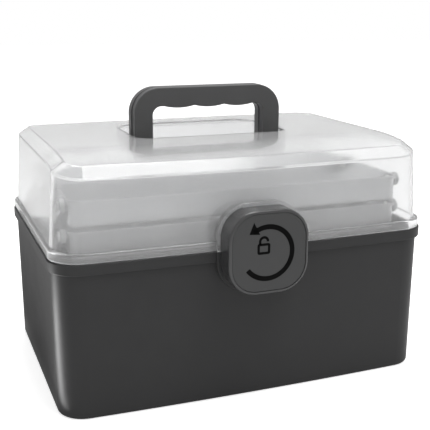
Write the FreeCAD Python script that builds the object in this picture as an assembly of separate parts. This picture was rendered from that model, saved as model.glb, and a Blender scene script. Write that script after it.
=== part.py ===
import FreeCAD, Part
import math
import os

# Medicine box with handle: a three-level storage box, all sizes in millimetres.
# X runs across the width, Y from the front to the back, Z up. The origin is on the floor
# under the middle of the box.

V = FreeCAD.Vector
PARTS = "parts"

# Running fits
PIN_CLEAR = 0.08
SIDE_CLEAR = 0.3

# Plan outline of the lid rim
BOX_WIDTH = 330.0
BOX_DEPTH = 225.0
WALL_BOW = 3.5
CORNER_R = 25.0
HALF_X = BOX_WIDTH / 2
HALF_Y = BOX_DEPTH / 2
BOW_R = (HALF_X ** 2 + WALL_BOW ** 2) / (2 * WALL_BOW)
BOW_CENTRE = BOW_R - HALF_Y - WALL_BOW
FRONT_REACH = HALF_Y + WALL_BOW

# Base tub
BASE_HEIGHT = 129.3
FLANGE_HEIGHT = 8.8
FLANGE_OUT = 1.15
BASE_TOP_IN = 1.55
BASE_BOTTOM_IN = 2.35
BASE_WALL = 2.5
BASE_FLOOR = 2.6
BASE_EDGE_R = 3.0
FLANGE_EDGE_R = 0.8

# Lid shell
LID_HEIGHT = 77.3
LID_GAP = 0.3
LID_RIM_HEIGHT = 8.0
LID_WALL = 2.0
LID_FOOT_IN = 2.45
LID_TOP_IN = 7.0
SHOULDER_LENGTH = 62.5
SHOULDER_R = 250.0
LID_CORNER_MORE = 4.0
CREASE_DOWN = 6.4
CREASE_IN = 8.6
CREASE_R = 1.5
RIM_EDGE_R = 1.6
RIM_FOOT_R = 0.6
LID_TOP_Z = BASE_HEIGHT + LID_HEIGHT
LID_FOOT_Z = BASE_HEIGHT + LID_GAP
RIM_TOP_Z = BASE_HEIGHT + LID_RIM_HEIGHT
SHOULDER_START_Y = SHOULDER_LENGTH - HALF_Y

# Carrying handle, which lies a little proud of the lid's top when it is folded
HANDLE_WIDTH = 139.4
HANDLE_THICK = 18.0
HANDLE_LEG = 16.5
HANDLE_LENGTH = 47.8
HANDLE_PROUD = 2.6
HANDLE_PIVOT_Y = 6.0
HANDLE_CORNER_R = 23.0
HANDLE_EDGE_R = 1.0
HANDLE_SEAM_STEP = 0.8
HANDLE_PIN_R = 2.5
GRIP_HEIGHT = 16.3
GRIP_INNER_R = 8.0
GRIP_FLAT = 2.7
FINGER_BULGE = 1.8
FINGER_COUNT = 3
HANDLE_PIVOT_Z = LID_TOP_Z + HANDLE_PROUD - HANDLE_THICK / 2
HANDLE_TOP_Z = HANDLE_PIVOT_Z + HANDLE_LENGTH
GRIP_HALF = HANDLE_WIDTH / 2 - HANDLE_LEG - GRIP_INNER_R - GRIP_FLAT
FINGER_PITCH = 2 * GRIP_HALF / FINGER_COUNT

# Pocket in the lid for the folded handle, and the bosses outside its ends that hold the pins
POCKET_BESIDE = 1.2
POCKET_AHEAD = 25.0
POCKET_BEHIND = 17.9
POCKET_UNDER = 0.6
POCKET_FRONT_R = 12.0
POCKET_BACK_R = 24.0
POCKET_FLOOR_R = 1.5
PIN_BOSS_R = 6.0
PIN_BOSS_THICK = 6.0
POCKET_HALF_X = HANDLE_WIDTH / 2 + POCKET_BESIDE
PIN_BOSS_X = POCKET_HALF_X + PIN_BOSS_THICK
POCKET_FRONT_Y = HANDLE_PIVOT_Y - POCKET_AHEAD
POCKET_BACK_Y = HANDLE_PIVOT_Y + HANDLE_LENGTH + POCKET_BEHIND
POCKET_FLOOR_Z = HANDLE_PIVOT_Z - HANDLE_THICK / 2 - POCKET_UNDER

# Hinge at the back
HINGE_OUT = 5.0
HINGE_UP = 0.2
HINGE_FROM_SIDE = 70.0
KNUCKLE_R = 4.5
HINGE_PIN_R = 1.8
LID_KNUCKLE = 24.0
BASE_KNUCKLE = 10.0
HINGE_X = HALF_X - HINGE_FROM_SIDE
HINGE_Y = FRONT_REACH + HINGE_OUT
HINGE_Z = BASE_HEIGHT + HINGE_UP
HINGE_PIN_HALF = LID_KNUCKLE / 2 + SIDE_CLEAR + BASE_KNUCKLE

# Turning latch on the front: the knob, then what carries it
KNOB_SIZE = 68.4
KNOB_DEPTH = 19.0
KNOB_CORNER_R = 24.0
KNOB_BACK_GAP = 0.4
KNOB_WALL = 2.4
KNOB_EDGE_R = 2.0
WEB_THICK = 2.0
CAP_THICK = 2.2
CAP_SINK = 0.4
CAP_FIT = 0.1
CAP_EDGE_R = 0.6
LEDGE_WIDTH = 2.0
LEDGE_THICK = 2.0
LATCH_UP = 1.7
BOSS_OUT = 3.0
BOSS_IN_WALL = 3.0
BOSS_MARGIN = 2.4
BOSS_EDGE_R = 1.0
STUD_R = 6.0
SLEEVE_WALL = 3.0
HUB_MARGIN = 6.0
HUB_CLEAR = 0.6
SCREW_R = 1.7
SCREW_LENGTH = 10.0
SCREW_HEAD_R = 4.0
SCREW_HEAD = 2.4
SCREW_TO_CAP = 0.6
WASHER_MARGIN = 2.0
WASHER_THICK = 1.0
LATCH_Z = BASE_HEIGHT + LATCH_UP
BOSS_SIZE = KNOB_SIZE + 2 * BOSS_MARGIN
BOSS_HALF = BOSS_SIZE / 2
BOSS_FACE_Y = -FRONT_REACH - BOSS_OUT
BOSS_BACK_Y = -FRONT_REACH + BOSS_IN_WALL
KNOB_FRONT_Y = BOSS_FACE_Y - KNOB_DEPTH
CAP_BACK_Y = KNOB_FRONT_Y + CAP_SINK + CAP_THICK
STUD_END_Y = CAP_BACK_Y + SCREW_TO_CAP + SCREW_HEAD + WASHER_THICK
WEB_FRONT_Y = STUD_END_Y + KNOB_BACK_GAP
SLEEVE_R = STUD_R + SLEEVE_WALL
HUB_R = SLEEVE_R + HUB_MARGIN
WASHER_R = STUD_R + WASHER_MARGIN

# Catch rib on the lid, its window in the knob, and the stops of the quarter turn
CATCH_PLAY = 0.5
CATCH_THICK = 3.3
CATCH_HEIGHT = 2.4
CATCH_HALF_ANGLE = 24.0
WINDOW_SIDE = 3.0
WINDOW_CLEAR = 0.5
STOP_POST_R = 2.5
STOP_POST_AT = 21.0
STOP_POST_HEIGHT = 5.5
STOP_RIB_HALF = 1.0
STOP_PLAY = 0.4
CATCH_OUTER_R = KNOB_SIZE / 2 - KNOB_WALL - CATCH_PLAY
WINDOW_HALF_X = CATCH_OUTER_R * math.sin(math.radians(CATCH_HALF_ANGLE)) + WINDOW_SIDE
WINDOW_DEPTH = CATCH_HEIGHT + WINDOW_CLEAR

# Swinging trays
TRAY_SIDE_ROOM = 19.0
TRAY_FRONT_ROOM = 24.5
TRAY_BACK_ROOM = 36.5
TRAY_HEIGHT = 22.0
TRAY_STACK_GAP = 2.5
TRAY_WALL = 1.6
TRAY_R = 8.0
TRAY_RIM_OUT = 1.5
TRAY_RIM_HEIGHT = 2.6
TRAY_RIM_EDGE_R = 0.7
TRAY_EDGE_R = 2.0
LOWER_RIM_UP = 18.7
TRAY_HALF_X = HALF_X - TRAY_SIDE_ROOM
TRAY_FRONT_Y = TRAY_FRONT_ROOM - HALF_Y
TRAY_BACK_Y = HALF_Y - TRAY_BACK_ROOM
LEVEL_PITCH = TRAY_HEIGHT + TRAY_STACK_GAP
LOWER_TRAY_TOP_Z = BASE_HEIGHT + LOWER_RIM_UP

# Link arms and their pins
ARM_LENGTH = 64.0
ARM_HALF_WIDTH = 6.0
ARM_THICK = 3.7
ARM_TO_RIM = 0.8
ARM_FROM_FRONT = 13.0
ARM_FROM_BACK = 12.4
ARM_PIN_R = 2.5
ARM_RIB_IN = 1.8
ARM_RIB_DEPTH = 0.9
PIN_HEAD_R = 3.8
PIN_HEAD = 1.6
PIVOT_BELOW_RIM = 5.5
TRAY_BOSS_BELOW_RIM = 0.5
ARM_X = TRAY_HALF_X + TRAY_RIM_OUT + ARM_TO_RIM
TRAY_BOSS_R = PIVOT_BELOW_RIM - TRAY_BOSS_BELOW_RIM
ARM_RISE_ANGLE = math.asin(LEVEL_PITCH / ARM_LENGTH)
ARM_REACH = ARM_LENGTH * math.cos(ARM_RISE_ANGLE)
LOWER_PIVOT_Z = LOWER_TRAY_TOP_Z - PIVOT_BELOW_RIM
UPPER_PIVOT_Z = LOWER_PIVOT_Z + LEVEL_PITCH
BASE_PIVOT_Z = LOWER_PIVOT_Z - LEVEL_PITCH
TIP_Y = (TRAY_FRONT_Y + ARM_FROM_FRONT, TRAY_BACK_Y - ARM_FROM_BACK - ARM_REACH)
ROOT_Y = tuple(y + ARM_REACH for y in TIP_Y)

# Loose dividers of the lower tray
DIVIDER_X = (44.0, 93.5)
DIVIDER_THICK = 1.4
DIVIDER_BELOW_RIM = 3.4
DIVIDER_FIT = 0.1
DIVIDER_FOOT_CUT = 1.6
GUIDE_THICK = 1.2
GUIDE_DEPTH = 3.0
DIVIDER_HEIGHT = TRAY_HEIGHT - TRAY_WALL - DIVIDER_BELOW_RIM

# Brackets that carry the lower arms inside the base
BRACKET_PLATE = 2.0
BRACKET_BELOW = 9.0
BRACKET_ABOVE = 8.0
BRACKET_END = 10.0
BRACKET_BOSS_R = 7.0
BRACKET_FIT = 0.15
BRACKET_WALL_X = HALF_X - BASE_TOP_IN - BASE_WALL - BRACKET_FIT


def arc(a, mid, b):
    return Part.Arc(a, mid, b).toShape()


def outline(offset, z, rounder=0):
    """Closed plan outline of the box, grown outwards by offset, at height z."""
    base_r = CORNER_R + rounder
    corner_r = base_r + offset
    cx = HALF_X - base_r
    cy = BOW_CENTRE - math.sqrt((BOW_R - base_r) ** 2 - cx ** 2)
    reach = math.hypot(cx, BOW_CENTRE - cy)
    ux, uy = cx / reach, (cy - BOW_CENTRE) / reach
    tangent_x = (BOW_R + offset) * ux
    tangent_y = BOW_CENTRE + (BOW_R + offset) * uy
    half_angle = math.atan2(uy, ux) / 2
    mid_x = cx + corner_r * math.cos(half_angle)
    mid_y = cy + corner_r * math.sin(half_angle)
    side_x = HALF_X + offset
    front_y = -(HALF_Y + WALL_BOW + offset)
    edges = [
        Part.makeLine(V(side_x, cy, z), V(side_x, -cy, z)),
        arc(V(side_x, -cy, z), V(mid_x, -mid_y, z), V(tangent_x, -tangent_y, z)),
        arc(V(tangent_x, -tangent_y, z), V(0, -front_y, z), V(-tangent_x, -tangent_y, z)),
        arc(V(-tangent_x, -tangent_y, z), V(-mid_x, -mid_y, z), V(-side_x, -cy, z)),
        Part.makeLine(V(-side_x, -cy, z), V(-side_x, cy, z)),
        arc(V(-side_x, cy, z), V(-mid_x, mid_y, z), V(-tangent_x, tangent_y, z)),
        arc(V(-tangent_x, tangent_y, z), V(0, front_y, z), V(tangent_x, tangent_y, z)),
        arc(V(tangent_x, tangent_y, z), V(mid_x, mid_y, z), V(side_x, cy, z)),
    ]
    return Part.Wire(edges)


def block(offset0, z0, offset1, z1, rounder=0):
    """Solid between two outlines."""
    return Part.makeLoft([outline(offset0, z0, rounder), outline(offset1, z1, rounder)], True, True)


def box(x0, x1, y0, y1, z0, z1):
    return Part.makeBox(x1 - x0, y1 - y0, z1 - z0, V(x0, y0, z0))


def rod_x(r, x0, x1, y, z):
    return Part.makeCylinder(r, x1 - x0, V(x0, y, z), V(1, 0, 0))


def rod_y(r, y0, y1, x, z):
    return Part.makeCylinder(r, y1 - y0, V(x, y0, z), V(0, 1, 0))


def edges_where(shape, test):
    """Edges whose every sampled point passes the test."""
    found = []
    for edge in shape.Edges:
        points = edge.discretize(5)
        if all(test(p) for p in points):
            found.append(edge)
    return found


def rounded_plate(x0, x1, y0, y1, z0, z1, r):
    """Upright block with four rounded corners."""
    plate = box(x0, x1, y0, y1, z0, z1)
    uprights = [edge for edge in plate.Edges if edge.BoundBox.ZLength > 0.5 * (z1 - z0)]
    return plate.makeFillet(r, uprights)


def squircle(size, r, y0, y1):
    """Rounded square about the latch's axis."""
    half = size / 2
    blank = box(-half, half, y0, y1, LATCH_Z - half, LATCH_Z + half)
    long_edges = [e for e in blank.Edges if e.BoundBox.YLength > 0.5]
    return blank.makeFillet(r, long_edges)


def save(name, shape):
    shape = shape.removeSplitter() if shape.ShapeType == "Solid" else shape
    if not shape.isValid():
        print("not valid:", name)
    shape.exportStep(os.path.join(PARTS, name + ".step"))
    b = shape.BoundBox
    print("%-26s %2d solid  %7.1f %7.1f  %7.1f %7.1f  %6.1f %6.1f  %9.0f mm3" % (
        name, len(shape.Solids), b.XMin, b.XMax, b.YMin, b.YMax, b.ZMin, b.ZMax, shape.Volume))


def group(shapes):
    return Part.makeCompound(shapes)


# Base tub
def hinge_knuckle(x0, x1, sign):
    """Hinge knuckle with its root, above the parting line for sign 1 and below it for -1."""
    barrel = rod_x(KNUCKLE_R, x0, x1, HINGE_Y, HINGE_Z)
    edge_z = LID_FOOT_Z if sign > 0 else BASE_HEIGHT
    z0, z1 = sorted((edge_z, HINGE_Z + sign * KNUCKLE_R))
    root = box(x0, x1, FRONT_REACH - BOSS_IN_WALL, HINGE_Y, z0, z1)
    return barrel.fuse(root)


def latch_boss():
    """Boss behind the knob, a little wider than the knob, with a soft front edge."""
    boss = squircle(BOSS_SIZE, KNOB_CORNER_R + BOSS_MARGIN, BOSS_FACE_Y, BOSS_BACK_Y)
    return boss.makeFillet(BOSS_EDGE_R, edges_where(boss, lambda p: p.y < BOSS_FACE_Y + 0.01))


def boss_side(z0, z1):
    """Block round the latch boss between two heights, for cutting it at the parting line."""
    return box(-BOSS_HALF - 1, BOSS_HALF + 1, BOSS_FACE_Y - 1, BOSS_BACK_Y + 1, z0, z1)


def base_tub():
    top_in = -BASE_TOP_IN
    flange_z = BASE_HEIGHT - FLANGE_HEIGHT
    tub = block(-BASE_BOTTOM_IN, 0, top_in, flange_z + 0.5)
    tub = tub.makeFillet(BASE_EDGE_R, edges_where(tub, lambda p: p.z < 0.01))
    flange = block(FLANGE_OUT, flange_z, FLANGE_OUT, BASE_HEIGHT)
    rims = edges_where(flange, lambda p: p.z < flange_z + 0.01 or p.z > BASE_HEIGHT - 0.01)
    flange = flange.makeFillet(FLANGE_EDGE_R, rims)
    tub = tub.fuse(flange)
    boss = latch_boss().cut(boss_side(BASE_HEIGHT, LATCH_Z + BOSS_HALF + 1))
    hub = rod_y(HUB_R, BOSS_FACE_Y, BOSS_BACK_Y + 1.0, 0, LATCH_Z)
    tub = tub.fuse([boss, hub])
    inside = block(-BASE_BOTTOM_IN - BASE_WALL, BASE_FLOOR, top_in - BASE_WALL, BASE_HEIGHT + 1)
    lower_edges = edges_where(inside, lambda p: p.z < BASE_FLOOR + 0.01)
    inside = inside.makeFillet(BASE_EDGE_R - 1.0, lower_edges)
    tub = tub.cut(inside)
    stud = rod_y(STUD_R, STUD_END_Y, BOSS_FACE_Y + 1, 0, LATCH_Z)
    post = rod_y(STOP_POST_R, BOSS_FACE_Y - STOP_POST_HEIGHT, BOSS_FACE_Y + 1, 0, LATCH_Z - STOP_POST_AT)
    tub = tub.fuse([stud, post])
    tub = tub.cut(rod_y(SCREW_R, STUD_END_Y - 1, STUD_END_Y + SCREW_LENGTH, 0, LATCH_Z))
    for side in (-1, 1):
        for inner in (LID_KNUCKLE / 2 + SIDE_CLEAR, -LID_KNUCKLE / 2 - SIDE_CLEAR - BASE_KNUCKLE):
            x0 = side * HINGE_X + inner
            tub = tub.fuse(hinge_knuckle(x0, x0 + BASE_KNUCKLE, -1))
        reach = HINGE_PIN_HALF + 1
        tub = tub.cut(rod_x(HINGE_PIN_R, side * HINGE_X - reach, side * HINGE_X + reach, HINGE_Y, HINGE_Z))
    return tub


# Lid shell
def lid_profile(drop):
    """Side view of the lid top, pushed down by drop, as a long prism across the width."""
    top = LID_TOP_Z - drop
    low = BASE_HEIGHT - 10
    x_half = HALF_X + 10
    y_far = FRONT_REACH + 10
    span = SHOULDER_START_Y + y_far
    centre_z = top - SHOULDER_R
    end_z = centre_z + math.sqrt(SHOULDER_R ** 2 - span ** 2)
    half_turn = math.asin(span / SHOULDER_R) / 2
    mid_y = SHOULDER_START_Y - SHOULDER_R * math.sin(half_turn)
    mid = V(-x_half, mid_y, centre_z + SHOULDER_R * math.cos(half_turn))
    points = [
        V(-x_half, -y_far, end_z),
        V(-x_half, -y_far, low),
        V(-x_half, y_far, low),
        V(-x_half, y_far, top),
        V(-x_half, SHOULDER_START_Y, top),
    ]
    edges = [Part.makeLine(points[i], points[i + 1]) for i in range(4)]
    edges.append(arc(points[4], mid, points[0]))
    return Part.Face(Part.Wire(edges)).extrude(V(2 * x_half, 0, 0))


def lid_form(inset):
    """Closed outer form of the lid above its rim, moved inwards by inset."""
    slope = (LID_TOP_IN - LID_FOOT_IN) / (LID_TOP_Z - RIM_TOP_Z)
    low_z = LID_FOOT_Z - 1 if inset else RIM_TOP_Z - 1
    low_in = LID_FOOT_IN + slope * (low_z - RIM_TOP_Z) + inset
    high_z = LID_TOP_Z + 5
    high_in = LID_FOOT_IN + slope * (high_z - RIM_TOP_Z) + inset
    form = block(-low_in, low_z, -high_in, high_z, LID_CORNER_MORE)
    form = form.common(lid_profile(inset))
    top_edges = edges_where(form, lambda p: p.z > LID_TOP_Z - inset - 20)
    wall_edges = [e for f in form.Faces if f.BoundBox.ZMin < low_z + 1 for e in f.Edges]
    crest = [e for e in top_edges if not is_upright(e) and any(e.isSame(w) for w in wall_edges)]
    form = form.makeChamfer(CREASE_DOWN, CREASE_IN, crest)
    creases = edges_where(form, lambda p: p.z > LID_TOP_Z - inset - 20)
    return form.makeFillet(CREASE_R, [e for e in creases if not is_upright(e)])


def is_upright(edge):
    a, b = edge.Vertexes[0].Point, edge.Vertexes[-1].Point
    return abs(a.z - b.z) > 5 * math.hypot(a.x - b.x, a.y - b.y)


def pocket_form(grow, z0, z1):
    """Pocket's plan, grown outwards, between two heights. Its back corners follow the folded handle."""
    half = POCKET_HALF_X + grow
    form = box(-half, half, POCKET_FRONT_Y - grow, POCKET_BACK_Y + grow, z0, z1)
    for r, y in ((POCKET_FRONT_R, POCKET_FRONT_Y - grow), (POCKET_BACK_R, POCKET_BACK_Y + grow)):
        form = form.makeFillet(r + grow, edges_where(form, lambda p: abs(abs(p.x) - half) + abs(p.y - y) < 0.01))
    return form.makeFillet(POCKET_FLOOR_R + grow, edges_where(form, lambda p: p.z < z0 + 0.01))


def lid_shell():
    rim = block(0, LID_FOOT_Z, 0, RIM_TOP_Z)
    rim = rim.makeFillet(RIM_EDGE_R, edges_where(rim, lambda p: p.z > RIM_TOP_Z - 0.01))
    rim = rim.makeFillet(RIM_FOOT_R, edges_where(rim, lambda p: p.z < LID_FOOT_Z + 0.01))
    boss = latch_boss().cut(boss_side(LATCH_Z - BOSS_HALF - 1, LID_FOOT_Z))
    outer = lid_form(0)
    shell = outer.fuse([rim, boss])
    shell = shell.cut(lid_form(LID_WALL))
    pocket_shell = pocket_form(LID_WALL, POCKET_FLOOR_Z - LID_WALL, LID_TOP_Z + 2)
    shell = shell.fuse(pocket_shell.common(outer))
    pocket = pocket_form(0, POCKET_FLOOR_Z, LID_TOP_Z + 3)
    for side in (-1, 1):
        x0, x1 = sorted((side * (POCKET_HALF_X + 0.5), side * PIN_BOSS_X))
        pin_boss = rod_x(PIN_BOSS_R, x0, x1, HANDLE_PIVOT_Y, HANDLE_PIVOT_Z)
        shell = shell.fuse(pin_boss.common(outer))
        shell = shell.cut(rod_x(HANDLE_PIN_R, x0 - 1, x1 + 1, HANDLE_PIVOT_Y, HANDLE_PIVOT_Z))
    shell = shell.cut(pocket)
    shell = shell.cut(rod_y(HUB_R + HUB_CLEAR, BOSS_FACE_Y - 1, BOSS_BACK_Y + 4, 0, LATCH_Z))
    catch = rod_y(CATCH_OUTER_R, BOSS_FACE_Y - CATCH_HEIGHT, BOSS_FACE_Y + 1, 0, LATCH_Z)
    front_y = BOSS_FACE_Y - CATCH_HEIGHT - 1
    catch = catch.cut(rod_y(CATCH_OUTER_R - CATCH_THICK, front_y, BOSS_FACE_Y + 2, 0, LATCH_Z))
    rise = CATCH_OUTER_R + 5
    half = rise * math.tan(math.radians(CATCH_HALF_ANGLE))
    corners = [V(0, front_y, LATCH_Z), V(-half, front_y, LATCH_Z + rise), V(half, front_y, LATCH_Z + rise)]
    wedge = Part.Face(Part.makePolygon(corners + corners[:1])).extrude(V(0, CATCH_HEIGHT + 5, 0))
    shell = shell.fuse(catch.common(wedge))
    for side in (-1, 1):
        x0 = side * HINGE_X - LID_KNUCKLE / 2
        shell = shell.fuse(hinge_knuckle(x0, x0 + LID_KNUCKLE, 1))
        shell = shell.cut(rod_x(HINGE_PIN_R + PIN_CLEAR, x0 - 1, x0 + LID_KNUCKLE + 1, HINGE_Y, HINGE_Z))
    return shell


# Carrying handle
def handle_layer(y0, y1, wider, edge_y):
    """Part of the handle between two depths, wider on each side, with its edges at edge_y rounded."""
    half = HANDLE_WIDTH / 2 + wider
    foot_z = HANDLE_PIVOT_Z - HANDLE_THICK / 2
    r = HANDLE_CORNER_R
    s = r * (1 - math.sqrt(0.5))
    top = HANDLE_TOP_Z
    outer = Part.Wire([
        Part.makeLine(V(-half, y0, foot_z), V(-half, y0, top - r)),
        arc(V(-half, y0, top - r), V(-half + s, y0, top - s), V(-half + r, y0, top)),
        Part.makeLine(V(-half + r, y0, top), V(half - r, y0, top)),
        arc(V(half - r, y0, top), V(half - s, y0, top - s), V(half, y0, top - r)),
        Part.makeLine(V(half, y0, top - r), V(half, y0, foot_z)),
        Part.makeLine(V(half, y0, foot_z), V(-half, y0, foot_z)),
    ])
    body = Part.Face(outer).extrude(V(0, y1 - y0, 0))
    body = body.makeFillet(HANDLE_EDGE_R, outline_edges(body, edge_y, foot_z))
    # Finger hollow with three soft bulges under the grip
    inner = HANDLE_WIDTH / 2 - HANDLE_LEG - wider
    under = top - GRIP_HEIGHT
    q = GRIP_INNER_R
    t = q * (1 - math.sqrt(0.5))
    wave = GRIP_HALF
    ya = y0 - 5
    gap_edges = [
        Part.makeLine(V(-inner, ya, foot_z - 5), V(-inner, ya, under - q)),
        arc(V(-inner, ya, under - q), V(-inner + t, ya, under - t), V(-inner + q, ya, under)),
        Part.makeLine(V(-inner + q, ya, under), V(-wave, ya, under)),
    ]
    for k in range(FINGER_COUNT):
        a = -wave + k * FINGER_PITCH
        b = a + FINGER_PITCH
        gap_edges.append(arc(V(a, ya, under), V((a + b) / 2, ya, under - FINGER_BULGE), V(b, ya, under)))
    gap_edges += [
        Part.makeLine(V(wave, ya, under), V(inner - q, ya, under)),
        arc(V(inner - q, ya, under), V(inner - t, ya, under - t), V(inner, ya, under - q)),
        Part.makeLine(V(inner, ya, under - q), V(inner, ya, foot_z - 5)),
        Part.makeLine(V(inner, ya, foot_z - 5), V(-inner, ya, foot_z - 5)),
    ]
    gap = Part.Face(Part.Wire(gap_edges)).extrude(V(0, y1 - y0 + 10, 0))
    return body.cut(gap)


def handle():
    """The back half stands proud of the front half beside the legs, which shows as a seam."""
    half = HANDLE_WIDTH / 2 + HANDLE_SEAM_STEP
    y0 = HANDLE_PIVOT_Y - HANDLE_THICK / 2
    y1 = HANDLE_PIVOT_Y + HANDLE_THICK / 2
    body = handle_layer(y0, HANDLE_PIVOT_Y, 0, y0)
    body = body.fuse(handle_layer(HANDLE_PIVOT_Y, y1, HANDLE_SEAM_STEP, y1)).removeSplitter()
    # Rounded feet that turn inside the pocket
    foot_z = HANDLE_PIVOT_Z - HANDLE_THICK / 2
    below = box(-half - 1, half + 1, y0 - 1, y1 + 1, foot_z - 1, HANDLE_PIVOT_Z)
    foot = rod_x(HANDLE_THICK / 2, -half, half, HANDLE_PIVOT_Y, HANDLE_PIVOT_Z)
    body = body.cut(below.cut(foot))
    for side in (-1, 1):
        x0, x1 = sorted((side * (HANDLE_WIDTH / 2 - HANDLE_LEG * 0.6), side * (half + 1)))
        body = body.cut(rod_x(HANDLE_PIN_R + PIN_CLEAR, x0, x1, HANDLE_PIVOT_Y, HANDLE_PIVOT_Z))
    return body


def outline_edges(body, edge_y, foot_z):
    """Edges round the flat face of a handle layer at edge_y, without its feet."""
    found = []
    for face in body.Faces:
        if face.BoundBox.YLength < 0.01 and abs(face.BoundBox.YMin - edge_y) < 0.01:
            for edge in face.Edges:
                if edge.BoundBox.ZMax > foot_z + 0.5:
                    found.append(edge)
    return found


def handle_pins():
    pins = []
    half = HANDLE_WIDTH / 2
    for side in (-1, 1):
        x0, x1 = sorted((side * (half - HANDLE_LEG * 0.6 + 0.5), side * PIN_BOSS_X))
        pins.append(rod_x(HANDLE_PIN_R, x0, x1, HANDLE_PIVOT_Y, HANDLE_PIVOT_Z))
    return group(pins)


# Latch knob, its face, screw and washer
def latch_knob():
    back_y = BOSS_FACE_Y - KNOB_BACK_GAP
    body = squircle(KNOB_SIZE, KNOB_CORNER_R, KNOB_FRONT_Y, back_y)
    body = body.makeFillet(KNOB_EDGE_R, edges_where(body, lambda p: p.y < KNOB_FRONT_Y + 0.01))
    inner_size = KNOB_SIZE - 2 * KNOB_WALL
    inner_r = KNOB_CORNER_R - KNOB_WALL
    body = body.cut(squircle(inner_size, inner_r, KNOB_FRONT_Y - 1, CAP_BACK_Y))
    ledge_y = CAP_BACK_Y + LEDGE_THICK
    throat = squircle(inner_size - 2 * LEDGE_WIDTH, inner_r - LEDGE_WIDTH, CAP_BACK_Y - 1, ledge_y + 1)
    body = body.cut(throat)
    body = body.cut(squircle(inner_size, inner_r, ledge_y, back_y + 1))
    web = squircle(inner_size + 1, inner_r, WEB_FRONT_Y, WEB_FRONT_Y + WEB_THICK)
    sleeve = rod_y(SLEEVE_R, WEB_FRONT_Y, back_y, 0, LATCH_Z)
    body = body.fuse([web, sleeve])
    body = body.cut(rod_y(STUD_R + PIN_CLEAR, WEB_FRONT_Y - 1, back_y + 1, 0, LATCH_Z))
    swing = math.degrees(math.asin((STOP_POST_R + STOP_RIB_HALF + STOP_PLAY) / STOP_POST_AT))
    rib_back = BOSS_FACE_Y - 1.0
    rib = box(SLEEVE_R - 1, STOP_POST_AT + STOP_POST_R + 1.5, WEB_FRONT_Y + WEB_THICK - 0.5, rib_back,
              LATCH_Z - STOP_RIB_HALF, LATCH_Z + STOP_RIB_HALF)
    centre = V(0, 0, LATCH_Z)
    for angle in (-90 - swing, swing):
        turned = rib.copy()
        turned.rotate(centre, V(0, -1, 0), angle)
        body = body.fuse(turned)
    window = box(-WINDOW_HALF_X, WINDOW_HALF_X, back_y - WINDOW_DEPTH, back_y + 1,
                 LATCH_Z + KNOB_SIZE / 2 - KNOB_WALL - 1.5, LATCH_Z + KNOB_SIZE / 2 + 1)
    return body.cut(window)


def latch_cap():
    size = KNOB_SIZE - 2 * KNOB_WALL - 2 * CAP_FIT
    y0 = KNOB_FRONT_Y + CAP_SINK
    cap = squircle(size, KNOB_CORNER_R - KNOB_WALL - CAP_FIT, y0, CAP_BACK_Y)
    return cap.makeFillet(CAP_EDGE_R, edges_where(cap, lambda p: p.y < y0 + 0.01))


def latch_screw():
    seat_y = STUD_END_Y - WASHER_THICK
    head = rod_y(SCREW_HEAD_R, seat_y - SCREW_HEAD, seat_y, 0, LATCH_Z)
    head = head.makeFillet(0.8, edges_where(head, lambda p: p.y < seat_y - SCREW_HEAD + 0.01))
    shank = rod_y(SCREW_R, seat_y - 0.5, STUD_END_Y + SCREW_LENGTH - 1, 0, LATCH_Z)
    screw = head.fuse(shank)
    top = seat_y - SCREW_HEAD
    arm, width = SCREW_HEAD_R * 0.375, 0.3
    for half_x, half_z in ((arm, width), (width, arm)):
        cross = box(-half_x, half_x, top - 1, top + SCREW_HEAD / 2, LATCH_Z - half_z, LATCH_Z + half_z)
        screw = screw.cut(cross)
    return screw


def latch_washer():
    ring = rod_y(WASHER_R, STUD_END_Y - WASHER_THICK, STUD_END_Y, 0, LATCH_Z)
    return ring.cut(rod_y(SCREW_R + PIN_CLEAR, STUD_END_Y - WASHER_THICK - 1, STUD_END_Y + 1, 0, LATCH_Z))


def hinge_pins():
    pins = []
    for side in (-1, 1):
        x = side * HINGE_X
        pins.append(rod_x(HINGE_PIN_R, x - HINGE_PIN_HALF, x + HINGE_PIN_HALF, HINGE_Y, HINGE_Z))
    return group(pins)


# Brackets inside the base
def arm_bracket(side):
    y0, y1 = ROOT_Y[0] - BRACKET_END, ROOT_Y[1] + BRACKET_BOSS_R
    plate_in = BRACKET_WALL_X - BRACKET_PLATE
    x0, x1 = sorted((side * plate_in, side * BRACKET_WALL_X))
    bracket = box(x0, x1, y0, y1, BASE_PIVOT_Z - BRACKET_BELOW, BASE_PIVOT_Z + BRACKET_ABOVE)
    boss_in = ARM_X + ARM_THICK + SIDE_CLEAR
    for y in ROOT_Y:
        b0, b1 = sorted((side * boss_in, side * (plate_in + 0.5)))
        bracket = bracket.fuse(rod_x(BRACKET_BOSS_R, b0, b1, y, BASE_PIVOT_Z))
        bracket = bracket.cut(rod_x(ARM_PIN_R, b0 - 1, b1 + 1, y, BASE_PIVOT_Z))
    return bracket


def bracket_pins():
    pins = []
    head_in = ARM_X - SIDE_CLEAR
    for side in (-1, 1):
        for y in ROOT_Y:
            s0, s1 = sorted((side * (head_in - 0.2), side * (BRACKET_WALL_X - BRACKET_PLATE - 0.5)))
            h0, h1 = sorted((side * (head_in - PIN_HEAD), side * head_in))
            pin = rod_x(ARM_PIN_R, s0, s1, y, BASE_PIVOT_Z)
            pins.append(pin.fuse(rod_x(PIN_HEAD_R, h0, h1, y, BASE_PIVOT_Z)))
    return group(pins)


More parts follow.
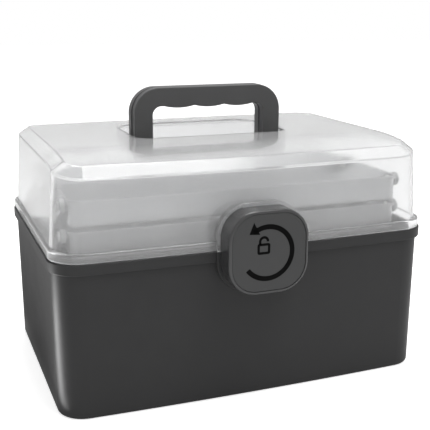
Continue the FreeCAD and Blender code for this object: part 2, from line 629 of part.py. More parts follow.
# Link arms
def link_arm(side, root_y, root_z):
    """One arm at rest: from its lower pivot forwards and up to the tray it carries."""
    tip_y, tip_z = root_y - ARM_REACH, root_z + LEVEL_PITCH
    x0, x1 = sorted((side * ARM_X, side * (ARM_X + ARM_THICK)))
    arm = arm_blank(x0, x1, root_y, root_z, ARM_HALF_WIDTH)
    root_end = rod_x(ARM_HALF_WIDTH, x0, x1, root_y, root_z)
    arm = arm.fuse([root_end, rod_x(ARM_HALF_WIDTH, x0, x1, tip_y, tip_z)])
    f0, f1 = sorted((side * (ARM_X + ARM_THICK - ARM_RIB_DEPTH), side * (ARM_X + ARM_THICK + 1)))
    hollow = arm_blank(f0, f1, root_y, root_z, ARM_HALF_WIDTH - ARM_RIB_IN)
    for y, z in ((root_y, root_z), (tip_y, tip_z)):
        hollow = hollow.cut(rod_x(ARM_HALF_WIDTH, f0 - 1, f1 + 1, y, z))
    arm = arm.cut(hollow)
    for y, z in ((root_y, root_z), (tip_y, tip_z)):
        arm = arm.cut(rod_x(ARM_PIN_R + PIN_CLEAR, x0 - 1, x1 + 1, y, z))
    return arm


def arm_blank(x0, x1, root_y, root_z, half_width):
    bar = box(x0, x1, -ARM_LENGTH, 0, -half_width, half_width)
    bar.rotate(V(0, 0, 0), V(-1, 0, 0), math.degrees(ARM_RISE_ANGLE))
    bar.translate(V(0, root_y, root_z))
    return bar


# Trays
def tray(top_z, pivots, guides):
    z0 = top_z - TRAY_HEIGHT
    body = rounded_plate(-TRAY_HALF_X, TRAY_HALF_X, TRAY_FRONT_Y, TRAY_BACK_Y, z0, top_z, TRAY_R)
    body = body.makeFillet(TRAY_EDGE_R, edges_where(body, lambda p: p.z < z0 + 0.01))
    rim = rounded_plate(-TRAY_HALF_X - TRAY_RIM_OUT, TRAY_HALF_X + TRAY_RIM_OUT, TRAY_FRONT_Y - TRAY_RIM_OUT,
                        TRAY_BACK_Y + TRAY_RIM_OUT, top_z - TRAY_RIM_HEIGHT, top_z, TRAY_R + TRAY_RIM_OUT)
    rim = rim.makeFillet(TRAY_RIM_EDGE_R, edges_where(rim, lambda p: p.z > top_z - 0.01))
    body = body.fuse(rim)
    for side in (-1, 1):
        b0, b1 = sorted((side * (TRAY_HALF_X - 0.5), side * (ARM_X - SIDE_CLEAR)))
        for y, z in pivots:
            body = body.fuse(rod_x(TRAY_BOSS_R, b0, b1, y, z))
    inside = rounded_plate(-TRAY_HALF_X + TRAY_WALL, TRAY_HALF_X - TRAY_WALL, TRAY_FRONT_Y + TRAY_WALL,
                           TRAY_BACK_Y - TRAY_WALL, z0 + TRAY_WALL, top_z + 1, TRAY_R - TRAY_WALL)
    inside = inside.makeFillet(TRAY_EDGE_R - 0.5, edges_where(inside, lambda p: p.z < z0 + TRAY_WALL + 0.01))
    body = body.cut(inside)
    for x in guides:
        for beside in (-1, 1):
            g0 = x + beside * (DIVIDER_THICK / 2 + DIVIDER_FIT)
            g0, g1 = sorted((g0, g0 + beside * GUIDE_THICK))
            for ya, yb in ((TRAY_FRONT_Y + TRAY_WALL - 0.3, TRAY_FRONT_Y + TRAY_WALL + GUIDE_DEPTH),
                           (TRAY_BACK_Y - TRAY_WALL - GUIDE_DEPTH, TRAY_BACK_Y - TRAY_WALL + 0.3)):
                body = body.fuse(box(g0, g1, ya, yb, z0 + TRAY_WALL - 0.3, z0 + TRAY_WALL + DIVIDER_HEIGHT))
    for side in (-1, 1):
        h0, h1 = sorted((side * (TRAY_HALF_X - TRAY_WALL - 1), side * (ARM_X + 1)))
        for y, z in pivots:
            body = body.cut(rod_x(ARM_PIN_R, h0, h1, y, z))
    return body


def tray_pins(pivots):
    pins = []
    wall_in = TRAY_HALF_X - TRAY_WALL
    head_at = ARM_X + ARM_THICK + SIDE_CLEAR
    for side in (-1, 1):
        for y, z in pivots:
            s0, s1 = sorted((side * (wall_in - 0.2), side * (head_at + 0.2)))
            i0, i1 = sorted((side * (wall_in - PIN_HEAD), side * wall_in))
            o0, o1 = sorted((side * head_at, side * (head_at + PIN_HEAD)))
            pin = rod_x(ARM_PIN_R, s0, s1, y, z)
            pins.append(pin.fuse([rod_x(PIN_HEAD_R, i0, i1, y, z), rod_x(PIN_HEAD_R, o0, o1, y, z)]))
    return group(pins)


def dividers(top_z):
    z0 = top_z - TRAY_HEIGHT + TRAY_WALL
    y0, y1 = TRAY_FRONT_Y + TRAY_WALL + DIVIDER_FIT, TRAY_BACK_Y - TRAY_WALL - DIVIDER_FIT
    plates = []
    for x in sorted([-d for d in DIVIDER_X] + list(DIVIDER_X)):
        x0, x1 = x - DIVIDER_THICK / 2, x + DIVIDER_THICK / 2
        foot = box(x0, x1, y0 + DIVIDER_FOOT_CUT, y1 - DIVIDER_FOOT_CUT, z0, z0 + DIVIDER_HEIGHT)
        plates.append(foot.fuse(box(x0, x1, y0, y1, z0 + DIVIDER_FOOT_CUT, z0 + DIVIDER_HEIGHT)))
    return group(plates)


def main():
    os.makedirs(PARTS, exist_ok=True)
    save("base_tub", base_tub())
    save("lid_shell", lid_shell())
    save("carry_handle", handle())
    save("handle_pins", handle_pins())
    save("hinge_pins", hinge_pins())
    save("latch_knob", latch_knob())
    save("latch_cap", latch_cap())
    save("latch_screw", latch_screw())
    save("latch_washer", latch_washer())
    save("arm_bracket_left", arm_bracket(-1))
    save("arm_bracket_right", arm_bracket(1))
    save("bracket_pins", bracket_pins())
    for level, root_z in (("lower", BASE_PIVOT_Z), ("upper", LOWER_PIVOT_Z)):
        for place, root_y in zip(("front", "rear"), ROOT_Y):
            for hand, side in (("left", -1), ("right", 1)):
                save("%s_%s_arm_%s" % (level, place, hand), link_arm(side, root_y, root_z))
    lower_pivots = [(y, LOWER_PIVOT_Z) for y in TIP_Y + ROOT_Y]
    upper_pivots = [(y, UPPER_PIVOT_Z) for y in TIP_Y]
    guides = sorted([-d for d in DIVIDER_X] + list(DIVIDER_X))
    save("lower_tray", tray(LOWER_TRAY_TOP_Z, lower_pivots, guides))
    save("upper_tray", tray(LOWER_TRAY_TOP_Z + LEVEL_PITCH, upper_pivots, []))
    save("lower_tray_pins", tray_pins(lower_pivots))
    save("upper_tray_pins", tray_pins(upper_pivots))
    save("lower_tray_dividers", dividers(LOWER_TRAY_TOP_Z))


main()
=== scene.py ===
# %% [markdown]
# # A medicine box with handle, dressed for its portrait
# The box has a dark tub, a frosted see-through lid, two trays on swinging link arms, a folding
# handle and a turning latch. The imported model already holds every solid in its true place, so this
# lesson gives those solids their plastics and metals, models the thin printed marks on the knob,
# and then sets up a plain studio.

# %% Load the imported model
import math
import bmesh
import bpy
from mathutils import Matrix, Vector


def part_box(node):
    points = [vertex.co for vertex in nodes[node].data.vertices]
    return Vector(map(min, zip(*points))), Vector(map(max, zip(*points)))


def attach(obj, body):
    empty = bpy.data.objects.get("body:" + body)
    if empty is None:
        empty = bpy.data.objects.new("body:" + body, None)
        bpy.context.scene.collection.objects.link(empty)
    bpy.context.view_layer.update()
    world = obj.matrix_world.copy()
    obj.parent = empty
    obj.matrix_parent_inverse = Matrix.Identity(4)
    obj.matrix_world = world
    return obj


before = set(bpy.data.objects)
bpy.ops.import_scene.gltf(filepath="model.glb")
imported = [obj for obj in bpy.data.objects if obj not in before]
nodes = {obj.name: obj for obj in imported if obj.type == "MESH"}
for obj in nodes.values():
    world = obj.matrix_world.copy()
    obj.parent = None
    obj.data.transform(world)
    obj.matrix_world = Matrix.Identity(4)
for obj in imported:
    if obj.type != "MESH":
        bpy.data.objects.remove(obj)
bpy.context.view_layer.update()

# %% [markdown]
# ## Small helpers
# The loaded nodes arrive selected, and an operator acts on everything that is selected. So each new
# piece starts by clearing the selection, and ends with its place baked into its mesh.

# %% Helpers for modelling
MM = 0.001


def clear_selection():
    if bpy.context.mode != "OBJECT":
        bpy.ops.object.mode_set(mode="OBJECT")
    bpy.ops.object.select_all(action="DESELECT")


def select_only(*objects):
    clear_selection()
    for piece in objects:
        piece.select_set(True)
    bpy.context.view_layer.objects.active = objects[0]


def bake_place(piece):
    """Moves a piece's place, turn and size into its mesh."""
    select_only(piece)
    bpy.ops.object.transform_apply(location=True, rotation=True, scale=True)


def outward(piece):
    """Merges doubles and turns every face outwards."""
    select_only(piece)
    bpy.ops.object.mode_set(mode="EDIT")
    bpy.ops.mesh.select_all(action="SELECT")
    bpy.ops.mesh.remove_doubles(threshold=0.00001)
    bpy.ops.mesh.normals_make_consistent(inside=False)
    bpy.ops.object.mode_set(mode="OBJECT")


def join(name, parts):
    select_only(*parts)
    bpy.ops.object.join()
    piece = bpy.context.view_layer.objects.active
    piece.name = name
    piece.data.name = name
    return piece


def report(piece):
    size = [round(1000 * v, 1) for v in piece.dimensions]
    print(piece.name, "faces:", len(piece.data.polygons), "size in mm:", size)


# %% [markdown]
# ## Effects that several plastics share
# Moulded plastic is never perfectly even: the mould leaves a fine grain, handling leaves soft dull
# patches, and frosted plastic is cloudier in some places than in others. Each effect is one node
# group with named inputs, so that every material can use it at its own strength.

# %% Start a node group with named inputs and outputs
def new_effect(name, inputs, outputs):
    group = bpy.data.node_groups.new(name, "ShaderNodeTree")
    for label, value in inputs:
        socket = group.interface.new_socket(label, in_out="INPUT", socket_type="NodeSocketFloat")
        socket.default_value = value
    for label in outputs:
        group.interface.new_socket(label, in_out="OUTPUT", socket_type="NodeSocketFloat")
    start = group.nodes.new("NodeGroupInput")
    end = group.nodes.new("NodeGroupOutput")
    return group, start, end


def noise(group, coords, scale, detail):
    node = group.nodes.new("ShaderNodeTexNoise")
    node.inputs["Detail"].default_value = detail
    group.links.new(coords, node.inputs["Vector"])
    if isinstance(scale, (int, float)):
        node.inputs["Scale"].default_value = scale
    else:
        group.links.new(scale, node.inputs["Scale"])
    return node.outputs["Fac"]


def spread(group, value, low, high):
    """Maps a noise value onto the range from low to high."""
    node = group.nodes.new("ShaderNodeMapRange")
    node.inputs["From Min"].default_value = 0.3
    node.inputs["From Max"].default_value = 0.7
    group.links.new(value, node.inputs["Value"])
    for socket, source in (("To Min", low), ("To Max", high)):
        if isinstance(source, (int, float)):
            node.inputs[socket].default_value = source
        else:
            group.links.new(source, node.inputs[socket])
    return node.outputs["Result"]


print("node groups can be started")

# %% [markdown]
# **Mould grain.** A spark-eroded mould leaves a pattern finer than a millimetre. A fine noise gives
# its height, and a broad noise lets the gloss drift from place to place, because no moulding is
# equally smooth all over. A picture of grain would do as well, but it would need a flat layout of
# every face, and noise in the object's own space needs none.

# %% Mould grain: a fine height pattern and an uneven roughness
grain, start, end = new_effect(
    "mould_grain", [("Grain per metre", 1500.0), ("Smoothest", 0.3), ("Roughest", 0.45)],
    ["Height", "Roughness"])
coords = grain.nodes.new("ShaderNodeTexCoord").outputs["Object"]
fine = noise(grain, coords, start.outputs["Grain per metre"], 2.0)
patch = noise(grain, coords, 22.0, 3.0)
grain.links.new(fine, end.inputs["Height"])
rough = spread(grain, patch, start.outputs["Smoothest"], start.outputs["Roughest"])
grain.links.new(rough, end.inputs["Roughness"])
print("made", grain.name)

# %% [markdown]
# **Cloudiness.** Polypropylene sets unevenly, so thin walls show broad whiter clouds. The noise is
# stretched along the height, the way the plastic flowed from the gate to the rim.

# %% Cloudiness: frosted plastic is whiter in some places than in others
cloud, start, end = new_effect("frost_cloud", [("Streak stretch", 6.0)], ["Mask"])
coords = cloud.nodes.new("ShaderNodeTexCoord").outputs["Object"]
stretch = cloud.nodes.new("ShaderNodeCombineXYZ")
for axis in ("X", "Y"):
    cloud.links.new(start.outputs["Streak stretch"], stretch.inputs[axis])
stretch.inputs["Z"].default_value = 1.0
stretched = cloud.nodes.new("ShaderNodeVectorMath")
stretched.operation = "MULTIPLY"
cloud.links.new(coords, stretched.inputs[0])
cloud.links.new(stretch.outputs[0], stretched.inputs[1])
streaks = noise(cloud, stretched.outputs[0], 9.0, 3.0)
cloud.links.new(spread(cloud, streaks, 0.0, 1.0), end.inputs["Mask"])
print("made", cloud.name)

# %% [markdown]
# **Hand wear.** Rubbing leaves small pale marks that gather in some places. Multiplying a fine noise
# with a broad one keeps the marks small and the places separate. One noise alone would spread the
# wear evenly, which looks like dirt.

# %% Hand wear: pale dull rubbing that comes and goes
wear, start, end = new_effect("hand_wear", [("Amount", 0.5)], ["Mask"])
coords = wear.nodes.new("ShaderNodeTexCoord").outputs["Object"]
rub = spread(wear, noise(wear, coords, 60.0, 6.0), 0.0, 1.0)
soft = spread(wear, noise(wear, coords, 14.0, 2.0), 0.0, 1.0)
both = wear.nodes.new("ShaderNodeMath")
both.operation = "MULTIPLY"
wear.links.new(rub, both.inputs[0])
wear.links.new(soft, both.inputs[1])
amount = wear.nodes.new("ShaderNodeMath")
amount.operation = "MULTIPLY"
wear.links.new(both.outputs[0], amount.inputs[0])
wear.links.new(start.outputs["Amount"], amount.inputs[1])
wear.links.new(amount.outputs[0], end.inputs["Mask"])
print("effects:", [g.name for g in bpy.data.node_groups])

# %% [markdown]
# ## Materials
# **Solid plastics.** The tub, handle and knob are dark plastic with a satin sheen. One function
# makes them all: the grain group drives roughness and a slight bump, and the wear group mixes in a
# paler tone. The tub takes little gloss, so that its front stays an even charcoal.

# %% Solid plastics
def place_group(tree, group, values):
    node = tree.nodes.new("ShaderNodeGroup")
    node.node_tree = group
    for label, value in values.items():
        node.inputs[label].default_value = value
    return node


def moulded(name, colour, worn_colour, grain_values, grain_height, wear_amount, specular=0.5, coat=0.0):
    """Opaque moulded plastic with its grain and its hand wear."""
    material = bpy.data.materials.new(name)
    material.use_nodes = True
    tree = material.node_tree
    shader = tree.nodes["Principled BSDF"]
    shader.inputs["Specular IOR Level"].default_value = specular
    shader.inputs["Coat Weight"].default_value = coat
    shader.inputs["Coat Roughness"].default_value = 0.12
    surface = place_group(tree, grain, grain_values)
    tree.links.new(surface.outputs["Roughness"], shader.inputs["Roughness"])
    bump = tree.nodes.new("ShaderNodeBump")
    bump.inputs["Strength"].default_value = 0.35
    bump.inputs["Distance"].default_value = grain_height
    tree.links.new(surface.outputs["Height"], bump.inputs["Height"])
    tree.links.new(bump.outputs["Normal"], shader.inputs["Normal"])
    rubbed = place_group(tree, wear, {"Amount": wear_amount})
    mix = tree.nodes.new("ShaderNodeMix")
    mix.data_type = "RGBA"
    mix.inputs["A"].default_value = (*colour, 1)
    mix.inputs["B"].default_value = (*worn_colour, 1)
    tree.links.new(rubbed.outputs["Mask"], mix.inputs["Factor"])
    tree.links.new(mix.outputs["Result"], shader.inputs["Base Color"])
    return material


tub_plastic = moulded(
    "charcoal_tub_plastic", (0.043, 0.043, 0.0435), (0.055, 0.055, 0.0555),
    {"Grain per metre": 1600, "Smoothest": 0.36, "Roughest": 0.42}, 0.00003, 0.25, specular=0.12)
handle_plastic = moulded(
    "graphite_handle_plastic", (0.082, 0.082, 0.083), (0.10, 0.10, 0.101),
    {"Grain per metre": 1900, "Smoothest": 0.38, "Roughest": 0.52}, 0.00004, 0.3, specular=0.3)
knob_plastic = moulded(
    "graphite_knob_plastic", (0.048, 0.048, 0.049), (0.064, 0.064, 0.065),
    {"Grain per metre": 2000, "Smoothest": 0.20, "Roughest": 0.28}, 0.00003, 0.25, specular=0.6)
cap_plastic = moulded(
    "slate_cap_plastic", (0.058, 0.0585, 0.059), (0.068, 0.068, 0.068),
    {"Grain per metre": 2400, "Smoothest": 0.40, "Roughest": 0.50}, 0.00004, 0.2, specular=0.3)
print("solid plastics made")


# %% [markdown]
# **Frosted plastics.** The lid, trays and arms are milky. Part of the light passes and bends at each
# skin, which draws the bright and dark lines along rims, creases and corners. The rest scatters
# white. Plain see-through alpha would be quicker, but it can't bend light and loses those lines. The
# trays are greyer and rougher than the lid, so they read as soft shapes behind it.

# %% Frosted plastics
def frosted(name, clear_colour, cloudy_colour, clear_share, grain_values, grain_height):
    """Milky plastic: a share of the light passes through and bends, the rest scatters white."""
    material = bpy.data.materials.new(name)
    material.use_nodes = True
    tree = material.node_tree
    shader = tree.nodes["Principled BSDF"]
    shader.inputs["Transmission Weight"].default_value = clear_share
    shader.inputs["IOR"].default_value = 1.45
    surface = place_group(tree, grain, grain_values)
    tree.links.new(surface.outputs["Roughness"], shader.inputs["Roughness"])
    bump = tree.nodes.new("ShaderNodeBump")
    bump.inputs["Strength"].default_value = 0.2
    bump.inputs["Distance"].default_value = grain_height
    tree.links.new(surface.outputs["Height"], bump.inputs["Height"])
    tree.links.new(bump.outputs["Normal"], shader.inputs["Normal"])
    clouds = place_group(tree, cloud, {"Streak stretch": 6.0})
    mix = tree.nodes.new("ShaderNodeMix")
    mix.data_type = "RGBA"
    mix.inputs["A"].default_value = (*clear_colour, 1)
    mix.inputs["B"].default_value = (*cloudy_colour, 1)
    tree.links.new(clouds.outputs["Mask"], mix.inputs["Factor"])
    tree.links.new(mix.outputs["Result"], shader.inputs["Base Color"])
    return material


lid_plastic = frosted(
    "frosted_lid_plastic", (0.955, 0.957, 0.96), (0.975, 0.977, 0.98), 0.84,
    {"Grain per metre": 900, "Smoothest": 0.09, "Roughest": 0.14}, 0.00001)
tray_plastic = frosted(
    "frosted_tray_plastic", (0.80, 0.805, 0.81), (0.85, 0.855, 0.86), 0.68,
    {"Grain per metre": 900, "Smoothest": 0.12, "Roughest": 0.16}, 0.000004)
arm_plastic = frosted(
    "frosted_arm_plastic", (0.84, 0.845, 0.85), (0.88, 0.885, 0.89), 0.5,
    {"Grain per metre": 900, "Smoothest": 0.14, "Roughest": 0.20}, 0.00001)
print("frosted plastics made")


# %% [markdown]
# **Small parts and ink.** The hinge, handle and latch pins are drawn steel, the tray pins are white
# plastic. The ink is matt and almost without gloss, or the bright room would turn it grey.

# %% Pins, steel and the printed ink
def metal(name, colour, grain_values):
    material = moulded(name, colour, tuple(0.8 * c for c in colour), grain_values, 0.00001, 0.5)
    material.node_tree.nodes["Principled BSDF"].inputs["Metallic"].default_value = 1.0
    return material


pin_plastic = moulded(
    "white_pin_plastic", (0.72, 0.72, 0.72), (0.62, 0.62, 0.61),
    {"Grain per metre": 2200, "Smoothest": 0.25, "Roughest": 0.35}, 0.00001, 0.4)
pin_steel = metal("drawn_steel", (0.56, 0.56, 0.57), {"Grain per metre": 3000, "Smoothest": 0.22, "Roughest": 0.36})
print_ink = moulded(
    "black_print_ink", (0.004, 0.004, 0.004), (0.009, 0.009, 0.009),
    {"Grain per metre": 3000, "Smoothest": 0.6, "Roughest": 0.75}, 0.00001, 0.5, specular=0.04)
print("pins, steel and ink made")

# %% [markdown]
# ## Giving each node its material
# A node's shape comes from the solid model and stays as it is. Only its material slots change.

# %% Assign the materials to the nodes
def give(material, *names):
    for name in names:
        mesh = nodes[name].data
        mesh.materials.clear()
        mesh.materials.append(material)


arm_names = [n for n in nodes if n.endswith("_arm_left") or n.endswith("_arm_right")]
give(tub_plastic, "base_tub", "arm_bracket_left", "arm_bracket_right")
give(handle_plastic, "carry_handle")
give(knob_plastic, "latch_knob")
give(cap_plastic, "latch_cap")
give(lid_plastic, "lid_shell")
give(tray_plastic, "lower_tray", "upper_tray", "lower_tray_dividers")
give(arm_plastic, *arm_names)
give(pin_plastic, "bracket_pins", "lower_tray_pins", "upper_tray_pins")
give(pin_steel, "hinge_pins", "handle_pins", "latch_screw", "latch_washer")
print("materials given to", len(nodes), "nodes")

# %% [markdown]
# ## The printed marks on the knob
# A printed arrow runs most of the way round the knob's face and an open padlock stands inside it.
# Ink has almost no height, so thin flat pieces a tenth of a millimetre proud stand for it. Their
# places are measured from the middle of the face cap, so they move with it if its size changes.

# %% Where the knob's face lies
INK_HEIGHT = 0.12 * MM
cap_low, cap_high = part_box("latch_cap")
face_y = cap_low[1]
centre_x = 0.5 * (cap_low[0] + cap_high[0])
centre_z = 0.5 * (cap_low[2] + cap_high[2])
RING_CENTRE = Vector((centre_x - 1.6 * MM, face_y, centre_z - 0.1 * MM))
print("face at y =", round(1000 * face_y, 1), "mm, middle at z =", round(1000 * centre_z, 1), "mm")

# %% [markdown]
# **A bent strip.** One small rectangle is spun about the knob's axis, which keeps both edges
# perfectly round. A curve with a thickness could do it too, but its ends would be harder to cut
# square.

# %% A strip of ink bent round a point
def strip_arc(name, middle, radius, width, first_deg, sweep_deg, steps):
    """A flat strip bent round a middle point, standing just proud of the knob's face."""
    clear_selection()
    bpy.ops.mesh.primitive_plane_add(size=1)
    strip = bpy.context.active_object
    strip.name = name
    strip.dimensions = (width, INK_HEIGHT + 0.05 * MM, 0)
    bpy.ops.object.transform_apply(location=False, rotation=False, scale=True)
    first = math.radians(first_deg)
    at = Vector((radius * math.cos(first), 0, radius * math.sin(first)))
    turn = Matrix.Rotation(-first, 4, "Y")
    strip.data.transform(turn)
    strip.data.transform(Matrix.Translation(middle + at + Vector((0, -0.5 * INK_HEIGHT + 0.025 * MM, 0))))
    bpy.ops.object.mode_set(mode="EDIT")
    bpy.ops.mesh.select_all(action="SELECT")
    bpy.ops.mesh.duplicate()
    bpy.ops.mesh.spin(steps=steps, angle=math.radians(sweep_deg), center=middle, axis=(0, 1, 0))
    bpy.ops.object.mode_set(mode="OBJECT")
    outward(strip)
    return strip


# %% [markdown]
# **A flat polygon.** A circle with as few corners as the shape needs is a ready-made filled face.
# Its corners move to their places, and one extrusion gives the ink its height.

# %% A flat polygon of ink
def flat_shape(name, corners):
    """A flat polygon on the knob's face, given its corners in millimetres from the face's middle."""
    clear_selection()
    bpy.ops.mesh.primitive_circle_add(vertices=len(corners), radius=0.01, fill_type="NGON")
    shape = bpy.context.active_object
    shape.name = name
    for vertex, (x, z) in zip(shape.data.vertices, corners):
        vertex.co = (centre_x + x * MM, face_y + 0.05 * MM, centre_z + z * MM)
    bpy.ops.object.mode_set(mode="EDIT")
    bpy.ops.mesh.select_all(action="SELECT")
    bpy.ops.mesh.extrude_region_move(TRANSFORM_OT_translate={"value": (0, -INK_HEIGHT - 0.05 * MM, 0)})
    bpy.ops.object.mode_set(mode="OBJECT")
    outward(shape)
    return shape


# %% [markdown]
# **The turning arrow.** It starts low on the left, runs under and round the right, and ends over the
# padlock in a triangular head. The ring runs a little way into the head, so that no gap shows.

# %% The turning arrow
ring = strip_arc("arrow_ring", RING_CENTRE, 21.1 * MM, 4.0 * MM, -142.5, 268, 90)
head = flat_shape("arrow_head", [(-13.6, 25.2), (-17.4, 16.0), (-8.4, 15.2)])
turn_arrow = join("printed_turn_arrow", [ring, head])
report(turn_arrow)

# %% [markdown]
# **The padlock's body.** It is a closed ring of four rounded sides. A flat rectangle has its
# corners bevelled, its two faces are inset by the line's width, and a bridge between the inset
# loops opens the middle. That keeps the line equally wide all round.

# %% A rounded rectangular ring of ink
def outline_frame(name, x0, x1, z0, z1, line, corner):
    """A rounded rectangular ring of ink."""
    frame_shape = flat_shape(name, [(x0, z0), (x1, z0), (x1, z1), (x0, z1)])
    select_only(frame_shape)
    bpy.ops.object.mode_set(mode="EDIT")
    bpy.ops.mesh.select_all(action="DESELECT")
    mesh = bmesh.from_edit_mesh(frame_shape.data)
    for edge in mesh.edges:
        a, b = (v.co for v in edge.verts)
        edge.select = abs(a.y - b.y) > 0.5 * INK_HEIGHT
    bmesh.update_edit_mesh(frame_shape.data)
    bpy.ops.mesh.bevel(offset=corner * MM, segments=6)
    bpy.ops.mesh.select_all(action="DESELECT")
    mesh = bmesh.from_edit_mesh(frame_shape.data)
    for face in mesh.faces:
        face.select = abs(face.normal.y) > 0.9
    bmesh.update_edit_mesh(frame_shape.data)
    bpy.ops.mesh.inset(thickness=line * MM, depth=0)
    bpy.ops.mesh.bridge_edge_loops()
    bpy.ops.object.mode_set(mode="OBJECT")
    outward(frame_shape)
    return frame_shape


# %% [markdown]
# **The open padlock.** The hook rises from the left of the body and ends in the air on the right,
# because the lock is open. Body, hook and leg are joined into one printed piece.

# %% The open padlock
lock_body = outline_frame("lock_body", -10.5, 0.4, -1.0, 7.9, 2.0, 1.7)
hook_middle = Vector((centre_x - 5.0 * MM, face_y, centre_z + 9.5 * MM))
lock_hook = strip_arc("lock_hook", hook_middle, 3.3 * MM, 2.0 * MM, 180, -184, 26)
hook_leg = flat_shape("hook_leg", [(-9.3, 6.8), (-7.3, 6.8), (-7.3, 9.6), (-9.3, 9.6)])
open_padlock = join("printed_open_padlock", [lock_body, lock_hook, hook_leg])
report(open_padlock)

# %% [markdown]
# ** Carried by the latch.** Both marks take the ink and ride on the latch, so they turn with the knob.

# %% Ink on the marks, and the body that carries them
for mark in (turn_arrow, open_padlock):
    mark.data.materials.clear()
    mark.data.materials.append(print_ink)
    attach(mark, "latch")
print("marks carried by the latch")

# %% [markdown]
# ## Studio
# **Floor.** Product photographs of this kind stand on nothing but white. A wide pale plane keeps
# the soft shadow under the box, and a glow that only the camera sees, straight or through the
# plastic, lifts it to white. A glow for every ray would also light the box from below.

# %% Floor: white to the camera, plain to the lamps, and still darkened by the box's shadow
clear_selection()
bpy.ops.mesh.primitive_plane_add(size=12)
floor = bpy.context.active_object
floor.name = "studio_floor"
floor_material = bpy.data.materials.new("pale_floor")
floor_material.use_nodes = True
tree = floor_material.node_tree
shader = tree.nodes["Principled BSDF"]
shader.inputs["Base Color"].default_value = (0.92, 0.92, 0.92, 1)
shader.inputs["Roughness"].default_value = 0.8
shader.inputs["Specular IOR Level"].default_value = 0.0
shader.inputs["Emission Color"].default_value = (1, 1, 1, 1)
floor.data.materials.append(floor_material)


def seen_directly(tree):
    """One for rays that come from the camera, straight or through the plastic, zero for the rest."""
    path = tree.nodes.new("ShaderNodeLightPath")
    either = tree.nodes.new("ShaderNodeMath")
    either.operation = "MAXIMUM"
    tree.links.new(path.outputs["Is Camera Ray"], either.inputs[0])
    tree.links.new(path.outputs["Is Transmission Ray"], either.inputs[1])
    return either.outputs[0]


def lift_when_seen(tree, socket, unseen, seen):
    level = tree.nodes.new("ShaderNodeMapRange")
    level.inputs["To Min"].default_value = unseen
    level.inputs["To Max"].default_value = seen
    tree.links.new(seen_directly(tree), level.inputs["Value"])
    tree.links.new(level.outputs["Result"], socket)


lift_when_seen(tree, shader.inputs["Emission Strength"], 0.0, 0.62)

print("floor laid")

# %% [markdown]
# **World.** An even white room gives the soft base light. It is brighter to the camera than to the
# box, so that the background is white and the dark plastic stays dark.

# %% World: an even light, and white wherever the camera sees past the floor
world = bpy.data.worlds.new("studio_world")
bpy.context.scene.world = world
world.use_nodes = True
background = world.node_tree.nodes["Background"]
background.inputs["Color"].default_value = (1, 1, 1, 1)
lift_when_seen(world.node_tree, background.inputs["Strength"], 0.6, 1.0)

print("world set")

# %% [markdown]
# **Lamp.** One large soft lamp above the right draws the bright band along the lid's front crease.

# %% Lamp
def soft_lamp(name, place, aim, size, power):
    lamp_data = bpy.data.lights.new(name, "AREA")
    lamp_data.shape = "RECTANGLE"
    lamp_data.size, lamp_data.size_y = size
    lamp_data.energy = power
    lamp = bpy.data.objects.new(name, lamp_data)
    lamp.visible_camera = False
    lamp.location = place
    lamp.rotation_euler = (Vector(aim) - Vector(place)).to_track_quat("-Z", "Y").to_euler()
    bpy.context.scene.collection.objects.link(lamp)
    return lamp


soft_lamp("top_softbox", (0.15, 0.05, 1.35), (-0.1, 0, 0.1), (2.0, 0.5), 16)
print("lamp set")

# %% [markdown]
# **Cards.** Two flat cards lie on the floor beside the tub and are seen by mirrored rays alone. Seen
# along its length, the tub's left side mirrors the white floor and turns grey, so a dark card lies
# there, as a photographer would lay it. A glowing wedge has its tip under the front left corner and
# draws the upright highlight on that rounding. It ends where the lid would begin to mirror it.

# %% Cards on the floor, for the tub to mirror
WEDGE_LONG = 0.31
WEDGE_WIDE = 0.15
WEDGE_TURN = math.radians(-128)
TIP_OFF_CORNER = Vector((0.003, 0.024, 0.004))


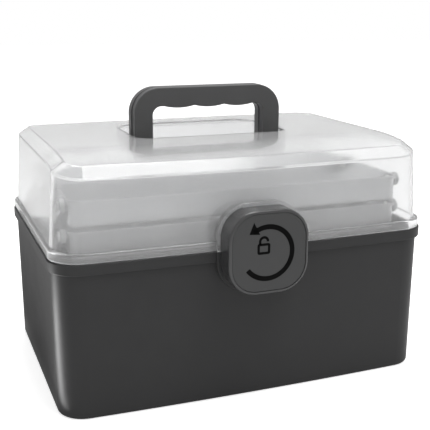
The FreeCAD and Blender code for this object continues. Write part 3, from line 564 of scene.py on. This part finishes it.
def only_mirrored(card, name, colour, glow):
    """Finish a stage card that no ray but a mirrored one can see."""
    card.name = name
    bake_place(card)
    material = bpy.data.materials.new(name)
    material.use_nodes = True
    shader = material.node_tree.nodes["Principled BSDF"]
    shader.inputs["Base Color"].default_value = (colour, colour, colour, 1)
    shader.inputs["Roughness"].default_value = 0.9
    shader.inputs["Emission Color"].default_value = (1, 1, 1, 1)
    shader.inputs["Emission Strength"].default_value = glow
    card.data.materials.append(material)
    for kind in ("camera", "diffuse", "transmission", "shadow"):
        setattr(card, "visible_" + kind, False)


clear_selection()
bpy.ops.mesh.primitive_plane_add(size=1)
dark_card = bpy.context.active_object
dark_card.dimensions = (0.12, 0.7, 0)
dark_card.location = (-0.23, 0.24, 0.002)
only_mirrored(dark_card, "dark_card", 0.18, 0.0)

tub_low = Vector(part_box("base_tub")[0])
away = Vector((math.sin(WEDGE_TURN), -math.cos(WEDGE_TURN), 0))
clear_selection()
bpy.ops.mesh.primitive_circle_add(vertices=3, radius=1, fill_type="NGON")
wedge = bpy.context.active_object
wedge.dimensions = (WEDGE_WIDE, WEDGE_LONG, 0)
wedge.rotation_euler = (0, 0, WEDGE_TURN)
wedge.location = Vector((tub_low.x, tub_low.y, 0)) + TIP_OFF_CORNER + away * WEDGE_LONG * 2 / 3
only_mirrored(wedge, "corner_wedge", 0.8, 15.0)
print("cards laid")

# %% [markdown]
# **Camera.** Its place and turn come from fitting the box's straight edges to the photograph: a
# little above the box and to the left of its middle. The clear plastic needs many bounces, or the
# places where several walls lie behind one another turn black.

# %% Camera, at the photograph's angle
bpy.context.scene.view_settings.view_transform = "Standard"
bpy.context.scene.cycles.max_bounces = 20
bpy.context.scene.cycles.transmission_bounces = 18
camera_data = bpy.data.cameras.new("portrait_camera")
camera_data.sensor_fit = "HORIZONTAL"
camera_data.sensor_width = 36
camera_data.lens = 36 * 814.175 / 430
camera = bpy.data.objects.new("portrait_camera", camera_data)
right = Vector((0.933704, -0.358032, 0.003070))
up = Vector((0.086596, 0.234136, 0.968339))
back = Vector((-0.347416, -0.903877, 0.249618))
turned = Matrix((right, up, back)).transposed().to_4x4()
camera.matrix_world = Matrix.Translation((-0.25868, -0.69108, 0.31825)) @ turned
bpy.context.scene.collection.objects.link(camera)
bpy.context.scene.camera = camera
print("camera placed")
